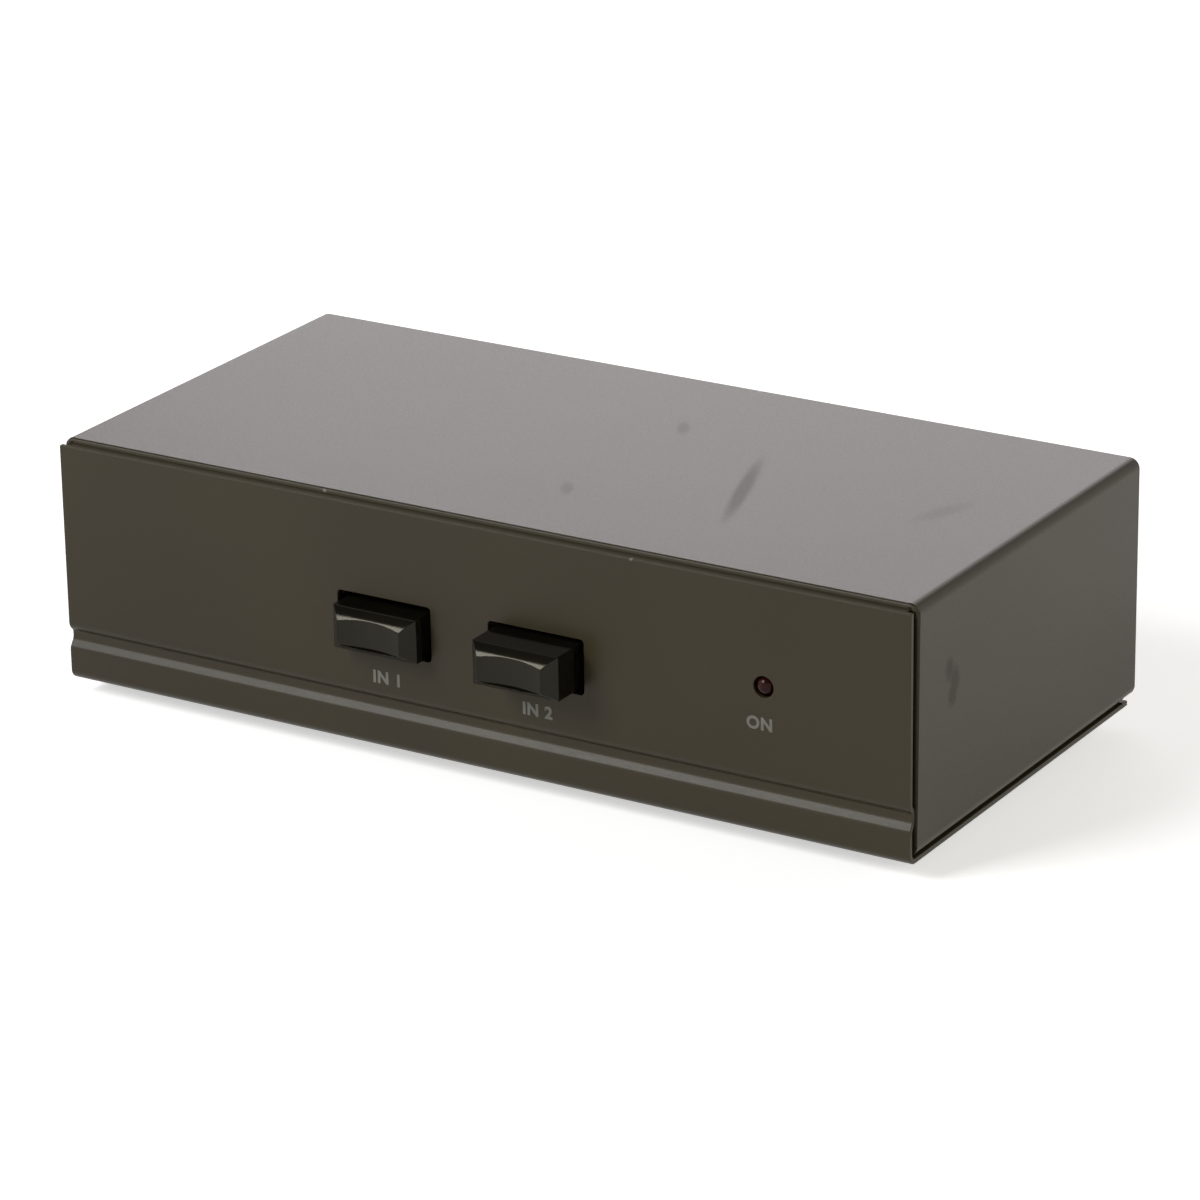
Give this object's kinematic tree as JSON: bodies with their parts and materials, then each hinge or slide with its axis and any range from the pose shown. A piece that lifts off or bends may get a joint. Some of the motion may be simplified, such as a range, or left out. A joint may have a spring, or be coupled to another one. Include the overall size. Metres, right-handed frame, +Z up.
{
  "type": "stereo preamplifier",
  "caption": "Low folded steel case with interlocked push buttons and a lamp in front, phono sockets, ground terminal and power inlet behind; picks one of the inputs and amplifies it.",
  "frame": {"origin": "on the surface it stands on, under the middle of the whole object's box", "axes": "+X to the right along the front panel, +Y from the front panel to the rear, +Z up"},
  "size_m": [0.145, 0.0852, 0.041],
  "materials": {
    "case_paint": "dark olive-brown stove enamel, semi-matt",
    "black_screw": "black zinc",
    "rubber_foot": "matt moulded rubber",
    "button_plastic": "glossy black moulding",
    "slider_plastic": "natural moulding",
    "spring_steel": "drawn wire",
    "plated_steel": "zinc plated",
    "switch_plastic": "matt moulding",
    "tinned_wire": "tinned",
    "lamp_lens": "red tinted epoxy, unlit",
    "black_plastic": "fine moulded grain",
    "board_laminate": "paper laminate",
    "brass": "turned",
    "nickel": "nickel plated",
    "white_insert": "white moulding",
    "red_insert": "red moulding",
    "terminal_metal": "nickel plated brass",
    "chip_plastic": "moulded epoxy",
    "can_sleeve": "shrunk sleeve",
    "film_resin": "dipped resin",
    "resistor_body": "lacquer"
  },
  "bodies": {
    "case": {"chassis": "case_paint", "cover": "case_paint", "cover_screws": "black_screw", "jack_screws": "black_screw", "foot_front_left": "rubber_foot", "foot_front_right": "rubber_foot", "foot_rear_left": "rubber_foot", "foot_rear_right": "rubber_foot", "aux_return_spring": "spring_steel", "phono_return_spring": "spring_steel", "latch_spring": "spring_steel", "selector_bracket": "plated_steel", "board_screws": "plated_steel", "aux_switch_body": "switch_plastic", "phono_switch_body": "switch_plastic", "switch_terminals": "tinned_wire", "lamp_leads": "tinned_wire", "power_lamp": "lamp_lens", "lamp_holder": "black_plastic", "phono_jack_block": "black_plastic", "aux_jack_block": "black_plastic", "output_jack_block": "black_plastic", "power_jack_body": "black_plastic", "circuit_board": "board_laminate", "board_spacers": "brass", "jack_centre_contacts": "brass", "phono_jack_sleeves": "nickel", "aux_jack_sleeves": "nickel", "output_jack_sleeves": "nickel", "ground_lock_nut": "nickel", "power_jack_pin": "nickel", "power_jack_leaf": "nickel", "left_jack_inserts": "white_insert", "right_jack_inserts": "red_insert", "ground_stud": "terminal_metal", "phono_chip": "chip_plastic", "line_chip": "chip_plastic", "regulator": "chip_plastic", "input_diode": "chip_plastic", "supply_capacitors": "can_sleeve", "signal_capacitors": "can_sleeve", "film_capacitors": "film_resin", "resistors": "resistor_body"},
    "aux_station": {"aux_button": "button_plastic", "aux_plunger": "slider_plastic"},
    "phono_station": {"phono_button": "button_plastic", "phono_plunger": "slider_plastic"},
    "latch": {"latch_plate": "plated_steel"},
    "ground_clamp": {"ground_washer": "nickel"},
    "ground_thumb_nut": {"ground_nut": "terminal_metal"}
  },
  "joints": [
    {"name": "phono_press", "type": "slide", "parent": "case", "child": "phono_station", "axis": [0, 1, 0], "range_m": [0, 0.003], "deforming": ["phono_return_spring", "aux_return_spring"]},
    {"name": "aux_press", "type": "slide", "parent": "case", "child": "aux_station", "axis": [0, 1, 0], "range_m": [-0.003, 0], "deforming": ["aux_return_spring"]},
    {"name": "latch_slide", "type": "slide", "parent": "case", "child": "latch", "axis": [1, 0, 0], "range_m": [0, 0.001], "stiffness_N_per_m": 150, "springref_m": -0.002, "deforming": ["latch_spring"]},
    {"name": "ground_clamp_slide", "type": "slide", "parent": "case", "child": "ground_clamp", "axis": [0, 1, 0], "range_m": [0, 0.0021]},
    {"name": "ground_nut_turn", "type": "hinge", "parent": "ground_clamp", "child": "ground_thumb_nut", "pos_m": [-0.0585, 0.037, 0.0221], "axis": [0, 1, 0], "range_deg": [0, 1080]}
  ],
  "couplings": [
    {"joint": "aux_press", "follows": "phono_press", "ratio": -1},
    {"joint": "ground_nut_turn", "follows": "ground_clamp_slide", "rad_per_m": 8976}
  ]
}
